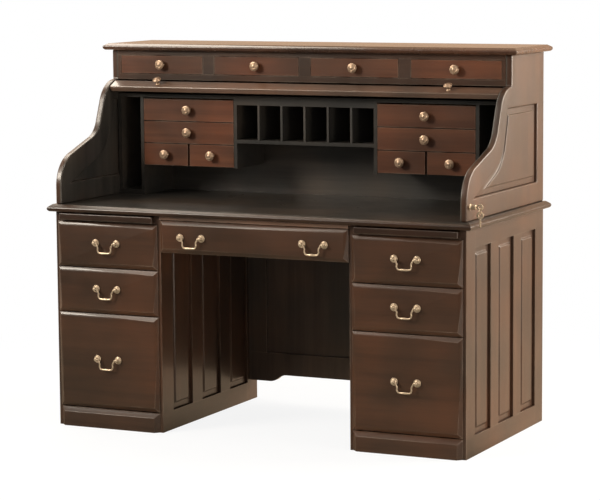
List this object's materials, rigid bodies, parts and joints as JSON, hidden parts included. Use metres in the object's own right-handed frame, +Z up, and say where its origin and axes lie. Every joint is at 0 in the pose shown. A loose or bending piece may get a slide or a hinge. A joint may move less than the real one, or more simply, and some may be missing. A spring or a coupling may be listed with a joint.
{
  "type": "roll-top desk",
  "caption": "Wooden pedestal desk with an S-shaped slatted roll front, a gallery of small drawers and pigeonholes, and drawers on brass bail handles.",
  "frame": {"origin": "on the floor under the middle of the desk", "axes": "+X to the viewer's right, +Y to the rear, +Z up; the front faces -Y"},
  "size_m": [1.571, 0.755, 1.29],
  "materials": {
    "case_wood": "polished",
    "front_wood": "polished",
    "roll_wood": "polished",
    "brass": "aged"
  },
  "bodies": {
    "carcass": {"drawer_runners": "case_wood", "gallery_case": "case_wood", "left_pedestal_frame": "case_wood", "left_roll_side": "case_wood", "lock_cylinder": "brass", "modesty_panel": "case_wood", "pedestal_backs": "case_wood", "pedestal_panels": "case_wood", "pigeonhole_dividers": "case_wood", "plinths": "front_wood", "right_pedestal_frame": "case_wood", "right_roll_side": "case_wood", "roll_side_panels": "case_wood", "top_board": "case_wood", "upper_case": "case_wood", "writing_top": "case_wood"},
    "centre_drawer": {"centre_drawer": "front_wood"},
    "left_file_drawer": {"left_file_drawer": "front_wood"},
    "left_gallery_lower_drawer": {"left_gallery_lower_drawer": "front_wood"},
    "left_gallery_narrow_left_drawer": {"left_gallery_narrow_left_drawer": "front_wood"},
    "left_gallery_narrow_right_drawer": {"left_gallery_narrow_right_drawer": "front_wood"},
    "left_gallery_upper_drawer": {"left_gallery_upper_drawer": "front_wood"},
    "left_middle_drawer": {"left_middle_drawer": "front_wood"},
    "left_top_drawer": {"left_top_drawer": "front_wood"},
    "right_file_drawer": {"right_file_drawer": "front_wood"},
    "right_gallery_lower_drawer": {"right_gallery_lower_drawer": "front_wood"},
    "right_gallery_narrow_left_drawer": {"right_gallery_narrow_left_drawer": "front_wood"},
    "right_gallery_narrow_right_drawer": {"right_gallery_narrow_right_drawer": "front_wood"},
    "right_gallery_upper_drawer": {"right_gallery_upper_drawer": "front_wood"},
    "right_middle_drawer": {"right_middle_drawer": "front_wood"},
    "right_top_drawer": {"right_top_drawer": "front_wood"},
    "upper_drawer_1": {"upper_drawer_1": "front_wood"},
    "upper_drawer_2": {"upper_drawer_2": "front_wood"},
    "upper_drawer_3": {"upper_drawer_3": "front_wood"},
    "upper_drawer_4": {"upper_drawer_4": "front_wood"},
    "left_writing_slide": {"left_writing_slide": "case_wood"},
    "right_writing_slide": {"right_writing_slide": "case_wood"},
    "centre_left_bail": {"centre_left_bail": "brass"},
    "centre_right_bail": {"centre_right_bail": "brass"},
    "left_file_bail": {"left_file_bail": "brass"},
    "left_middle_bail": {"left_middle_bail": "brass"},
    "left_top_bail": {"left_top_bail": "brass"},
    "right_file_bail": {"right_file_bail": "brass"},
    "right_middle_bail": {"right_middle_bail": "brass"},
    "right_top_bail": {"right_top_bail": "brass"},
    "roll_rail": {"roll_rail": "roll_wood", "lift_knobs": "brass"},
    "roll_strip_01": {"roll_strip_01": "roll_wood"},
    "roll_strip_02": {"roll_strip_02": "roll_wood"},
    "roll_strip_03": {"roll_strip_03": "roll_wood"},
    "roll_strip_04": {"roll_strip_04": "roll_wood"},
    "roll_strip_05": {"roll_strip_05": "roll_wood"},
    "roll_strip_06": {"roll_strip_06": "roll_wood"},
    "roll_strip_07": {"roll_strip_07": "roll_wood"},
    "roll_strip_08": {"roll_strip_08": "roll_wood"},
    "roll_strip_09": {"roll_strip_09": "roll_wood"},
    "roll_strip_10": {"roll_strip_10": "roll_wood"},
    "roll_strip_11": {"roll_strip_11": "roll_wood"},
    "lock_key": {"lock_key": "brass"},
    "key_ring": {"key_ring": "brass"}
  },
  "joints": [
    {"name": "centre_drawer_slide", "type": "slide", "parent": "carcass", "child": "centre_drawer", "axis": [0, -1, 0], "range_m": [0, 0.35]},
    {"name": "left_file_drawer_slide", "type": "slide", "parent": "carcass", "child": "left_file_drawer", "axis": [0, -1, 0], "range_m": [0, 0.45]},
    {"name": "left_gallery_lower_drawer_slide", "type": "slide", "parent": "carcass", "child": "left_gallery_lower_drawer", "axis": [0, -1, 0], "range_m": [0, 0.14]},
    {"name": "left_gallery_narrow_left_drawer_slide", "type": "slide", "parent": "carcass", "child": "left_gallery_narrow_left_drawer", "axis": [0, -1, 0], "range_m": [0, 0.14]},
    {"name": "left_gallery_narrow_right_drawer_slide", "type": "slide", "parent": "carcass", "child": "left_gallery_narrow_right_drawer", "axis": [0, -1, 0], "range_m": [0, 0.14]},
    {"name": "left_gallery_upper_drawer_slide", "type": "slide", "parent": "carcass", "child": "left_gallery_upper_drawer", "axis": [0, -1, 0], "range_m": [0, 0.14]},
    {"name": "left_middle_drawer_slide", "type": "slide", "parent": "carcass", "child": "left_middle_drawer", "axis": [0, -1, 0], "range_m": [0, 0.45]},
    {"name": "left_top_drawer_slide", "type": "slide", "parent": "carcass", "child": "left_top_drawer", "axis": [0, -1, 0], "range_m": [0, 0.45]},
    {"name": "right_file_drawer_slide", "type": "slide", "parent": "carcass", "child": "right_file_drawer", "axis": [0, -1, 0], "range_m": [0, 0.45]},
    {"name": "right_gallery_lower_drawer_slide", "type": "slide", "parent": "carcass", "child": "right_gallery_lower_drawer", "axis": [0, -1, 0], "range_m": [0, 0.14]},
    {"name": "right_gallery_narrow_left_drawer_slide", "type": "slide", "parent": "carcass", "child": "right_gallery_narrow_left_drawer", "axis": [0, -1, 0], "range_m": [0, 0.14]},
    {"name": "right_gallery_narrow_right_drawer_slide", "type": "slide", "parent": "carcass", "child": "right_gallery_narrow_right_drawer", "axis": [0, -1, 0], "range_m": [0, 0.14]},
    {"name": "right_gallery_upper_drawer_slide", "type": "slide", "parent": "carcass", "child": "right_gallery_upper_drawer", "axis": [0, -1, 0], "range_m": [0, 0.14]},
    {"name": "right_middle_drawer_slide", "type": "slide", "parent": "carcass", "child": "right_middle_drawer", "axis": [0, -1, 0], "range_m": [0, 0.45]},
    {"name": "right_top_drawer_slide", "type": "slide", "parent": "carcass", "child": "right_top_drawer", "axis": [0, -1, 0], "range_m": [0, 0.45]},
    {"name": "upper_drawer_1_slide", "type": "slide", "parent": "carcass", "child": "upper_drawer_1", "axis": [0, -1, 0], "range_m": [0, 0.18]},
    {"name": "upper_drawer_2_slide", "type": "slide", "parent": "carcass", "child": "upper_drawer_2", "axis": [0, -1, 0], "range_m": [0, 0.18]},
    {"name": "upper_drawer_3_slide", "type": "slide", "parent": "carcass", "child": "upper_drawer_3", "axis": [0, -1, 0], "range_m": [0, 0.18]},
    {"name": "upper_drawer_4_slide", "type": "slide", "parent": "carcass", "child": "upper_drawer_4", "axis": [0, -1, 0], "range_m": [0, 0.18]},
    {"name": "left_writing_slide_pull", "type": "slide", "parent": "carcass", "child": "left_writing_slide", "axis": [0, -1, 0], "range_m": [0, 0.35]},
    {"name": "right_writing_slide_pull", "type": "slide", "parent": "carcass", "child": "right_writing_slide", "axis": [0, -1, 0], "range_m": [0, 0.35]},
    {"name": "centre_left_bail_swing", "type": "hinge", "parent": "centre_drawer", "child": "centre_left_bail", "pos_m": [-0.224, -0.368, 0.668], "axis": [-1, 0, 0], "range_deg": [0, 80]},
    {"name": "centre_right_bail_swing", "type": "hinge", "parent": "centre_drawer", "child": "centre_right_bail", "pos_m": [0.224, -0.368, 0.668], "axis": [-1, 0, 0], "range_deg": [0, 80]},
    {"name": "left_file_bail_swing", "type": "hinge", "parent": "left_file_drawer", "child": "left_file_bail", "pos_m": [-0.548, -0.368, 0.23901], "axis": [-1, 0, 0], "range_deg": [0, 80]},
    {"name": "left_middle_bail_swing", "type": "hinge", "parent": "left_middle_drawer", "child": "left_middle_bail", "pos_m": [-0.548, -0.368, 0.48001], "axis": [-1, 0, 0], "range_deg": [0, 80]},
    {"name": "left_top_bail_swing", "type": "hinge", "parent": "left_top_drawer", "child": "left_top_bail", "pos_m": [-0.548, -0.368, 0.636], "axis": [-1, 0, 0], "range_deg": [0, 80]},
    {"name": "right_file_bail_swing", "type": "hinge", "parent": "right_file_drawer", "child": "right_file_bail", "pos_m": [0.548, -0.368, 0.23901], "axis": [-1, 0, 0], "range_deg": [0, 80]},
    {"name": "right_middle_bail_swing", "type": "hinge", "parent": "right_middle_drawer", "child": "right_middle_bail", "pos_m": [0.548, -0.368, 0.48001], "axis": [-1, 0, 0], "range_deg": [0, 80]},
    {"name": "right_top_bail_swing", "type": "hinge", "parent": "right_top_drawer", "child": "right_top_bail", "pos_m": [0.548, -0.368, 0.636], "axis": [-1, 0, 0], "range_deg": [0, 80]},
    {"name": "roll_lower", "type": "hinge", "parent": "carcass", "child": "roll_rail", "pos_m": [0, 0.12576, 0.68914], "axis": [-1, 0, 0], "range_deg": [-64.93, 0], "deforming": ["roll_strip_01", "roll_strip_02", "roll_strip_03", "roll_strip_04", "roll_strip_05", "roll_strip_06", "roll_strip_07", "roll_strip_08", "roll_strip_09", "roll_strip_10", "roll_strip_11"]},
    {"name": "roll_strip_01_follow", "type": "hinge", "parent": "carcass", "child": "roll_strip_01", "pos_m": [0, 0.07787, 0.74155], "axis": [-1, 0, 0], "range_deg": [-75.82, 0]},
    {"name": "roll_strip_02_follow", "type": "hinge", "parent": "carcass", "child": "roll_strip_02", "pos_m": [0, 0.26524, 0.46572], "axis": [-1, 0, 0], "range_deg": [-41.71, 0]},
    {"name": "roll_strip_03_follow", "type": "hinge", "parent": "carcass", "child": "roll_strip_03", "pos_m": [0, 0.68181, -0.27129], "axis": [-1, 0, 0], "range_deg": [-18.69, 0]},
    {"name": "roll_strip_04_follow", "type": "hinge", "parent": "carcass", "child": "roll_strip_04", "pos_m": [0, 0.69815, -0.30284], "axis": [-1, 0, 0], "range_deg": [-18.26, 0]},
    {"name": "roll_strip_05_follow", "type": "hinge", "parent": "carcass", "child": "roll_strip_05", "pos_m": [0, 0.27101, 0.60133], "axis": [-1, 0, 0], "range_deg": [-52.09, 0]},
    {"name": "roll_strip_06_follow", "type": "hinge", "parent": "carcass", "child": "roll_strip_06", "pos_m": [0, 0.15199, 0.9325], "axis": [-1, 0, 0], "range_deg": [-127.5, 0]},
    {"name": "roll_strip_07_follow", "type": "hinge", "parent": "carcass", "child": "roll_strip_07", "pos_m": [0, 0.14401, 0.98917], "axis": [-1, 0, 0], "range_deg": [-156.99, 0]},
    {"name": "roll_strip_08_follow", "type": "hinge", "parent": "carcass", "child": "roll_strip_08", "pos_m": [0, 0.1438, 0.98777], "axis": [-1, 0, 0], "range_deg": [-156.16, 0]},
    {"name": "roll_strip_09_follow", "type": "hinge", "parent": "carcass", "child": "roll_strip_09", "pos_m": [0, 0.11851, 0.93565], "axis": [-1, 0, 0], "range_deg": [-125.67, 0]},
    {"name": "roll_strip_10_follow", "type": "hinge", "parent": "carcass", "child": "roll_strip_10", "pos_m": [0, 0.06253, 0.87134], "axis": [-1, 0, 0], "range_deg": [-93.25, 0]},
    {"name": "roll_strip_11_follow", "type": "hinge", "parent": "carcass", "child": "roll_strip_11", "pos_m": [0, 0.05382, 0.86482], "axis": [-1, 0, 0], "range_deg": [-90.05, 0]},
    {"name": "key_turn", "type": "hinge", "parent": "carcass", "child": "lock_key", "pos_m": [0.77, -0.308, 0.806], "axis": [1, 0, 0], "range_deg": [0, 90]},
    {"name": "ring_swing", "type": "hinge", "parent": "lock_key", "child": "key_ring", "pos_m": [0.783, -0.308, 0.80302], "axis": [1, 0, 0], "range_deg": [-15, 15]}
  ],
  "couplings": [
    {"joint": "roll_strip_01_follow", "follows": "roll_lower", "ratio": 1.1669},
    {"joint": "roll_strip_02_follow", "follows": "roll_lower", "ratio": 0.64157},
    {"joint": "roll_strip_03_follow", "follows": "roll_lower", "ratio": 0.28706},
    {"joint": "roll_strip_04_follow", "follows": "roll_lower", "ratio": 0.2804},
    {"joint": "roll_strip_05_follow", "follows": "roll_lower", "ratio": 0.8015},
    {"joint": "roll_strip_06_follow", "follows": "roll_lower", "ratio": 1.9628},
    {"joint": "roll_strip_07_follow", "follows": "roll_lower", "ratio": 2.417},
    {"joint": "roll_strip_08_follow", "follows": "roll_lower", "ratio": 2.4041},
    {"joint": "roll_strip_09_follow", "follows": "roll_lower", "ratio": 1.9346},
    {"joint": "roll_strip_10_follow", "follows": "roll_lower", "ratio": 1.4353},
    {"joint": "roll_strip_11_follow", "follows": "roll_lower", "ratio": 1.3861}
  ]
}
